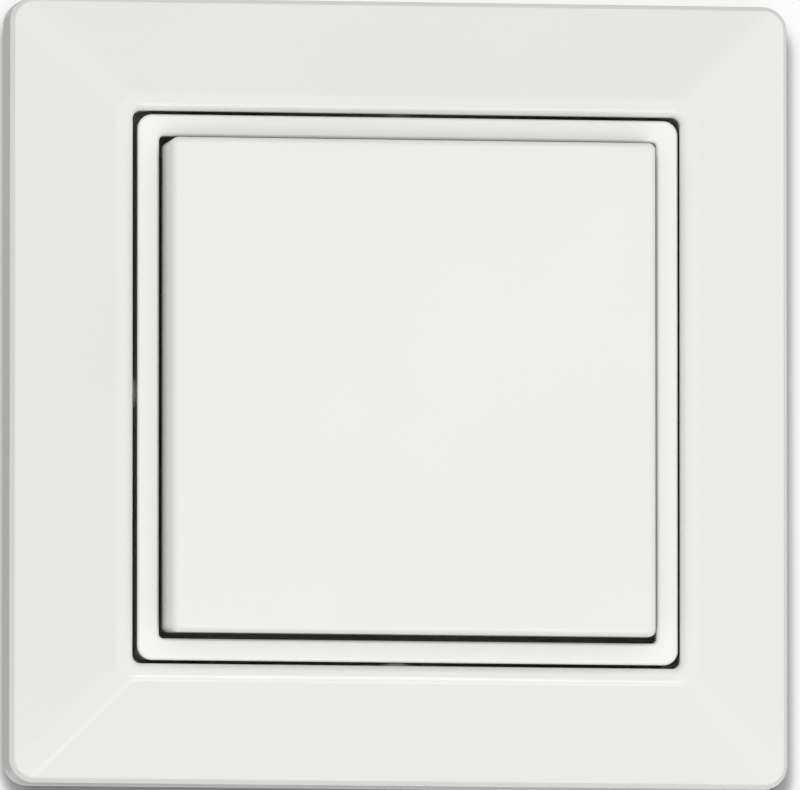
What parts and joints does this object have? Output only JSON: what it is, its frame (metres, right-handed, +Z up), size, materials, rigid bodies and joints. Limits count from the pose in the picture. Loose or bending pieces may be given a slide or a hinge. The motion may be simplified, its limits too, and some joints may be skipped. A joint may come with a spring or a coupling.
{
  "type": "wireless light switch",
  "caption": "Square surface wall switch with a bevelled frame, a slim inner ring and one large rocker that tilts about its middle over a battery-free radio module.",
  "frame": {"origin": "middle of the back, where the adhesive pad lies on the wall", "axes": "+Y into the wall, so the rocker faces -Y; +Z up; +X to the right seen from the room"},
  "size_m": [0.0801, 0.0145, 0.08],
  "materials": {
    "white_gloss": "smooth glossy moulded plastic, white",
    "white_ring": "smooth glossy moulded plastic, white",
    "white_rocker": "smooth glossy moulded plastic, white",
    "grey_plate": "fine matt moulded plastic, light grey",
    "module_white": "matt moulded plastic, off-white",
    "module_grey": "matt moulded plastic, mid grey",
    "bow_plastic": "glass-filled nylon, dark grey",
    "spring_steel": "drawn spring wire and strip",
    "magnet_grey": "nickel plated magnet",
    "soft_iron": "plain stamped sheet",
    "copper_coil": "enamelled copper winding",
    "bobbin_plastic": "moulded plastic, black",
    "board_green": "solder resist on glass-epoxy board",
    "mat_rubber": "translucent silicone rubber",
    "carbon_pill": "conductive carbon rubber",
    "chip_black": "moulded component body, black",
    "component_tan": "ceramic component body, tan",
    "bare_wire": "tinned copper wire",
    "foam_pad": "double-sided foam film"
  },
  "bodies": {
    "wall_unit": {"front_frame": "white_gloss", "insert_ring": "white_ring", "adhesive_pad": "foam_pad", "mounting_plate": "grey_plate", "module_base": "module_grey", "module_cover": "module_white", "return_spring_upper": "spring_steel", "return_spring_lower": "spring_steel", "iron_core": "soft_iron", "coil_bobbin": "bobbin_plastic", "coil_winding": "copper_coil", "coil_terminals": "bare_wire", "circuit_board": "board_green", "contact_mat": "mat_rubber", "contact_pills": "carbon_pill", "radio_chip": "chip_black", "crystal": "spring_steel", "storage_capacitors": "component_tan", "rectifier": "chip_black", "antenna": "bare_wire"},
    "rocker": {"rocker": "white_rocker"},
    "energy_bow": {"energy_bow": "bow_plastic"},
    "armature": {"magnet_carrier": "bobbin_plastic", "magnet": "magnet_grey", "pole_plate_outer": "soft_iron", "pole_plate_inner": "soft_iron", "drive_spring": "spring_steel"}
  },
  "joints": [
    {"name": "rocker_tilt", "type": "hinge", "parent": "wall_unit", "child": "rocker", "pos_m": [0, -0.0094, 0], "axis": [1, 0, 0], "range_deg": [-5.8, 5.8], "stiffness_Nm_per_rad": 0.6, "deforming": ["contact_mat", "contact_pills"]},
    {"name": "bow_tilt", "type": "hinge", "parent": "wall_unit", "child": "energy_bow", "pos_m": [0, -0.0094, 0], "axis": [1, 0, 0], "range_deg": [-5.8, 5.8], "stiffness_Nm_per_rad": 0.3, "deforming": ["return_spring_upper", "return_spring_lower"]},
    {"name": "armature_tilt", "type": "hinge", "parent": "wall_unit", "child": "armature", "pos_m": [0, -0.0049, 0], "axis": [1, 0, 0], "range_deg": [-2.9, 2.9], "deforming": ["drive_spring"]}
  ],
  "couplings": [
    {"joint": "bow_tilt", "follows": "rocker_tilt", "ratio": 1},
    {"joint": "armature_tilt", "follows": "rocker_tilt", "ratio": 0.5}
  ]
}
